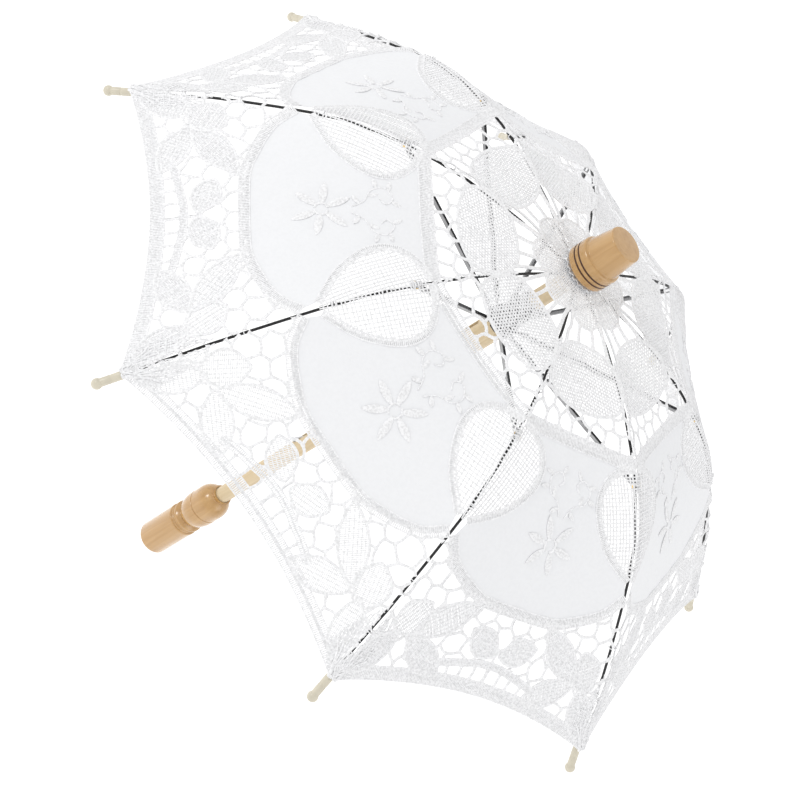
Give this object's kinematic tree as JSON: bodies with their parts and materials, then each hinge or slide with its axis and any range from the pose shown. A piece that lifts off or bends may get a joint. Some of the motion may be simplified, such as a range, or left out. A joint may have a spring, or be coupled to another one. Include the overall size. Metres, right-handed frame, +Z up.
{
  "type": "lace parasol",
  "caption": "Small folding sun parasol: turned wood handle, shaft and cap, curved black steel ribs and channel stretchers on a sliding runner, scalloped white tape-lace canopy.",
  "frame": {"origin": "centre of the handle's flat butt end", "axes": "+Z up along the shaft, towards the cap; +X through rib 1, with the ribs numbered anticlockwise seen from above"},
  "size_m": [0.5018, 0.5018, 0.44],
  "materials": {
    "varnished_wood": "clear varnished light maple",
    "shaft_wood": "plain sanded pale wood",
    "black_steel": "black lacquer",
    "black_plastic": "moulded, satin",
    "wire_steel": "bright drawn wire",
    "brass": "small brass rivets",
    "tip_plastic": "cream moulded plastic",
    "lace": "white cotton tape lace with embroidered cotton panels"
  },
  "bodies": {
    "stick": {"handle": "varnished_wood", "shaft": "shaft_wood", "cap": "varnished_wood", "crown_notch": "black_plastic", "crown_wire": "wire_steel", "rosette": "lace", "top_catch": "wire_steel", "bottom_catch": "wire_steel", "stop_pin": "wire_steel"},
    "runner": {"runner_sleeve": "shaft_wood", "runner_notch": "black_plastic", "runner_wire": "wire_steel"},
    "rib_1": {"rib_1": "black_steel", "rivet_1": "brass", "tip_1": "tip_plastic"},
    "rib_2": {"rib_2": "black_steel", "rivet_2": "brass", "tip_2": "tip_plastic"},
    "rib_3": {"rib_3": "black_steel", "rivet_3": "brass", "tip_3": "tip_plastic"},
    "rib_4": {"rib_4": "black_steel", "rivet_4": "brass", "tip_4": "tip_plastic"},
    "rib_5": {"rib_5": "black_steel", "rivet_5": "brass", "tip_5": "tip_plastic"},
    "rib_6": {"rib_6": "black_steel", "rivet_6": "brass", "tip_6": "tip_plastic"},
    "rib_7": {"rib_7": "black_steel", "rivet_7": "brass", "tip_7": "tip_plastic"},
    "rib_8": {"rib_8": "black_steel", "rivet_8": "brass", "tip_8": "tip_plastic"},
    "stretcher_1": {"stretcher_1": "black_steel"},
    "stretcher_2": {"stretcher_2": "black_steel"},
    "stretcher_3": {"stretcher_3": "black_steel"},
    "stretcher_4": {"stretcher_4": "black_steel"},
    "stretcher_5": {"stretcher_5": "black_steel"},
    "stretcher_6": {"stretcher_6": "black_steel"},
    "stretcher_7": {"stretcher_7": "black_steel"},
    "stretcher_8": {"stretcher_8": "black_steel"},
    "gore_1_right": {"gore_1_right": "lace"},
    "gore_1_left": {"gore_1_left": "lace"},
    "gore_2_right": {"gore_2_right": "lace"},
    "gore_2_left": {"gore_2_left": "lace"},
    "gore_3_right": {"gore_3_right": "lace"},
    "gore_3_left": {"gore_3_left": "lace"},
    "gore_4_right": {"gore_4_right": "lace"},
    "gore_4_left": {"gore_4_left": "lace"},
    "gore_5_right": {"gore_5_right": "lace"},
    "gore_5_left": {"gore_5_left": "lace"},
    "gore_6_right": {"gore_6_right": "lace"},
    "gore_6_left": {"gore_6_left": "lace"},
    "gore_7_right": {"gore_7_right": "lace"},
    "gore_7_left": {"gore_7_left": "lace"},
    "gore_8_right": {"gore_8_right": "lace"},
    "gore_8_left": {"gore_8_left": "lace"}
  },
  "joints": [
    {"name": "runner_slide", "type": "slide", "parent": "stick", "child": "runner", "axis": [0, 0, 1], "range_m": [-0.161, 0], "deforming": ["top_catch", "bottom_catch"]},
    {"name": "rib_1_fold", "type": "hinge", "parent": "stick", "child": "rib_1", "pos_m": [0.008, 0, 0.404], "axis": [0, 1, 0], "range_deg": [0, 60.84]},
    {"name": "rib_2_fold", "type": "hinge", "parent": "stick", "child": "rib_2", "pos_m": [0.00566, 0.00566, 0.404], "axis": [-0.7071, 0.7071, 0], "range_deg": [0, 60.84]},
    {"name": "rib_3_fold", "type": "hinge", "parent": "stick", "child": "rib_3", "pos_m": [0, 0.008, 0.404], "axis": [-1, 0, 0], "range_deg": [0, 60.84]},
    {"name": "rib_4_fold", "type": "hinge", "parent": "stick", "child": "rib_4", "pos_m": [-0.00566, 0.00566, 0.404], "axis": [-0.7071, -0.7071, 0], "range_deg": [0, 60.84]},
    {"name": "rib_5_fold", "type": "hinge", "parent": "stick", "child": "rib_5", "pos_m": [-0.008, 0, 0.404], "axis": [0, -1, 0], "range_deg": [0, 60.84]},
    {"name": "rib_6_fold", "type": "hinge", "parent": "stick", "child": "rib_6", "pos_m": [-0.00566, -0.00566, 0.404], "axis": [0.7071, -0.7071, 0], "range_deg": [0, 60.84]},
    {"name": "rib_7_fold", "type": "hinge", "parent": "stick", "child": "rib_7", "pos_m": [0, -0.008, 0.404], "axis": [1, 0, 0], "range_deg": [0, 60.84]},
    {"name": "rib_8_fold", "type": "hinge", "parent": "stick", "child": "rib_8", "pos_m": [0.00566, -0.00566, 0.404], "axis": [0.7071, 0.7071, 0], "range_deg": [0, 60.84]},
    {"name": "stretcher_1_fold", "type": "hinge", "parent": "rib_1", "child": "stretcher_1", "pos_m": [0.121, 0, 0.38749], "axis": [0, 1, 0], "range_deg": [-110.65, 0]},
    {"name": "stretcher_2_fold", "type": "hinge", "parent": "rib_2", "child": "stretcher_2", "pos_m": [0.08556, 0.08556, 0.38749], "axis": [-0.7071, 0.7071, 0], "range_deg": [-110.65, 0]},
    {"name": "stretcher_3_fold", "type": "hinge", "parent": "rib_3", "child": "stretcher_3", "pos_m": [0, 0.121, 0.38749], "axis": [-1, 0, 0], "range_deg": [-110.65, 0]},
    {"name": "stretcher_4_fold", "type": "hinge", "parent": "rib_4", "child": "stretcher_4", "pos_m": [-0.08556, 0.08556, 0.38749], "axis": [-0.7071, -0.7071, 0], "range_deg": [-110.65, 0]},
    {"name": "stretcher_5_fold", "type": "hinge", "parent": "rib_5", "child": "stretcher_5", "pos_m": [-0.121, 0, 0.38749], "axis": [0, -1, 0], "range_deg": [-110.65, 0]},
    {"name": "stretcher_6_fold", "type": "hinge", "parent": "rib_6", "child": "stretcher_6", "pos_m": [-0.08556, -0.08556, 0.38749], "axis": [0.7071, -0.7071, 0], "range_deg": [-110.65, 0]},
    {"name": "stretcher_7_fold", "type": "hinge", "parent": "rib_7", "child": "stretcher_7", "pos_m": [0, -0.121, 0.38749], "axis": [1, 0, 0], "range_deg": [-110.65, 0]},
    {"name": "stretcher_8_fold", "type": "hinge", "parent": "rib_8", "child": "stretcher_8", "pos_m": [0.08556, -0.08556, 0.38749], "axis": [0.7071, 0.7071, 0], "range_deg": [-110.65, 0]},
    {"name": "gore_1_right_fold", "type": "hinge", "parent": "rib_1", "child": "gore_1_right", "pos_m": [0.008, 0, 0.404], "axis": [-0.4686, -0.8395, -0.2751], "range_deg": [0, 27.94], "deforming": ["gore_1_right"]},
    {"name": "gore_1_left_fold", "type": "hinge", "parent": "rib_2", "child": "gore_1_left", "pos_m": [0.00566, 0.00566, 0.404], "axis": [0.925, -0.2623, 0.2751], "range_deg": [0, 27.94], "deforming": ["gore_1_left"]},
    {"name": "gore_2_right_fold", "type": "hinge", "parent": "rib_2", "child": "gore_2_right", "pos_m": [0.00566, 0.00566, 0.404], "axis": [0.2623, -0.925, -0.2751], "range_deg": [0, 27.94], "deforming": ["gore_2_right"]},
    {"name": "gore_2_left_fold", "type": "hinge", "parent": "rib_3", "child": "gore_2_left", "pos_m": [0, 0.008, 0.404], "axis": [0.8395, 0.4686, 0.2751], "range_deg": [0, 27.94], "deforming": ["gore_2_left"]},
    {"name": "gore_3_right_fold", "type": "hinge", "parent": "rib_3", "child": "gore_3_right", "pos_m": [0, 0.008, 0.404], "axis": [0.8395, -0.4686, -0.2751], "range_deg": [0, 27.94], "deforming": ["gore_3_right"]},
    {"name": "gore_3_left_fold", "type": "hinge", "parent": "rib_4", "child": "gore_3_left", "pos_m": [-0.00566, 0.00566, 0.404], "axis": [0.2623, 0.925, 0.2751], "range_deg": [0, 27.94], "deforming": ["gore_3_left"]},
    {"name": "gore_4_right_fold", "type": "hinge", "parent": "rib_4", "child": "gore_4_right", "pos_m": [-0.00566, 0.00566, 0.404], "axis": [0.925, 0.2623, -0.2751], "range_deg": [0, 27.94], "deforming": ["gore_4_right"]},
    {"name": "gore_4_left_fold", "type": "hinge", "parent": "rib_5", "child": "gore_4_left", "pos_m": [-0.008, 0, 0.404], "axis": [-0.4686, 0.8395, 0.2751], "range_deg": [0, 27.94], "deforming": ["gore_4_left"]},
    {"name": "gore_5_right_fold", "type": "hinge", "parent": "rib_5", "child": "gore_5_right", "pos_m": [-0.008, 0, 0.404], "axis": [0.4686, 0.8395, -0.2751], "range_deg": [0, 27.94], "deforming": ["gore_5_right"]},
    {"name": "gore_5_left_fold", "type": "hinge", "parent": "rib_6", "child": "gore_5_left", "pos_m": [-0.00566, -0.00566, 0.404], "axis": [-0.925, 0.2623, 0.2751], "range_deg": [0, 27.94], "deforming": ["gore_5_left"]},
    {"name": "gore_6_right_fold", "type": "hinge", "parent": "rib_6", "child": "gore_6_right", "pos_m": [-0.00566, -0.00566, 0.404], "axis": [-0.2623, 0.925, -0.2751], "range_deg": [0, 27.94], "deforming": ["gore_6_right"]},
    {"name": "gore_6_left_fold", "type": "hinge", "parent": "rib_7", "child": "gore_6_left", "pos_m": [0, -0.008, 0.404], "axis": [-0.8395, -0.4686, 0.2751], "range_deg": [0, 27.94], "deforming": ["gore_6_left"]},
    {"name": "gore_7_right_fold", "type": "hinge", "parent": "rib_7", "child": "gore_7_right", "pos_m": [0, -0.008, 0.404], "axis": [-0.8395, 0.4686, -0.2751], "range_deg": [0, 27.94], "deforming": ["gore_7_right"]},
    {"name": "gore_7_left_fold", "type": "hinge", "parent": "rib_8", "child": "gore_7_left", "pos_m": [0.00566, -0.00566, 0.404], "axis": [-0.2623, -0.925, 0.2751], "range_deg": [0, 27.94], "deforming": ["gore_7_left"]},
    {"name": "gore_8_right_fold", "type": "hinge", "parent": "rib_8", "child": "gore_8_right", "pos_m": [0.00566, -0.00566, 0.404], "axis": [-0.925, -0.2623, -0.2751], "range_deg": [0, 27.94], "deforming": ["gore_8_right"]},
    {"name": "gore_8_left_fold", "type": "hinge", "parent": "rib_1", "child": "gore_8_left", "pos_m": [0.008, 0, 0.404], "axis": [0.4686, -0.8395, 0.2751], "range_deg": [0, 27.94], "deforming": ["gore_8_left"]}
  ],
  "couplings": [
    {"joint": "rib_1_fold", "follows": "runner_slide", "rad_per_m": -6.5939},
    {"joint": "rib_2_fold", "follows": "runner_slide", "rad_per_m": -6.5939},
    {"joint": "rib_3_fold", "follows": "runner_slide", "rad_per_m": -6.5939},
    {"joint": "rib_4_fold", "follows": "runner_slide", "rad_per_m": -6.5939},
    {"joint": "rib_5_fold", "follows": "runner_slide", "rad_per_m": -6.5939},
    {"joint": "rib_6_fold", "follows": "runner_slide", "rad_per_m": -6.5939},
    {"joint": "rib_7_fold", "follows": "runner_slide", "rad_per_m": -6.5939},
    {"joint": "rib_8_fold", "follows": "runner_slide", "rad_per_m": -6.5939},
    {"joint": "stretcher_1_fold", "follows": "runner_slide", "rad_per_m": 11.994},
    {"joint": "stretcher_2_fold", "follows": "runner_slide", "rad_per_m": 11.994},
    {"joint": "stretcher_3_fold", "follows": "runner_slide", "rad_per_m": 11.994},
    {"joint": "stretcher_4_fold", "follows": "runner_slide", "rad_per_m": 11.994},
    {"joint": "stretcher_5_fold", "follows": "runner_slide", "rad_per_m": 11.994},
    {"joint": "stretcher_6_fold", "follows": "runner_slide", "rad_per_m": 11.994},
    {"joint": "stretcher_7_fold", "follows": "runner_slide", "rad_per_m": 11.994},
    {"joint": "stretcher_8_fold", "follows": "runner_slide", "rad_per_m": 11.994},
    {"joint": "gore_1_right_fold", "follows": "runner_slide", "rad_per_m": -3.0277},
    {"joint": "gore_1_left_fold", "follows": "runner_slide", "rad_per_m": -3.0277},
    {"joint": "gore_2_right_fold", "follows": "runner_slide", "rad_per_m": -3.0277},
    {"joint": "gore_2_left_fold", "follows": "runner_slide", "rad_per_m": -3.0277},
    {"joint": "gore_3_right_fold", "follows": "runner_slide", "rad_per_m": -3.0277},
    {"joint": "gore_3_left_fold", "follows": "runner_slide", "rad_per_m": -3.0277},
    {"joint": "gore_4_right_fold", "follows": "runner_slide", "rad_per_m": -3.0277},
    {"joint": "gore_4_left_fold", "follows": "runner_slide", "rad_per_m": -3.0277},
    {"joint": "gore_5_right_fold", "follows": "runner_slide", "rad_per_m": -3.0277},
    {"joint": "gore_5_left_fold", "follows": "runner_slide", "rad_per_m": -3.0277},
    {"joint": "gore_6_right_fold", "follows": "runner_slide", "rad_per_m": -3.0277},
    {"joint": "gore_6_left_fold", "follows": "runner_slide", "rad_per_m": -3.0277},
    {"joint": "gore_7_right_fold", "follows": "runner_slide", "rad_per_m": -3.0277},
    {"joint": "gore_7_left_fold", "follows": "runner_slide", "rad_per_m": -3.0277},
    {"joint": "gore_8_right_fold", "follows": "runner_slide", "rad_per_m": -3.0277},
    {"joint": "gore_8_left_fold", "follows": "runner_slide", "rad_per_m": -3.0277}
  ]
}
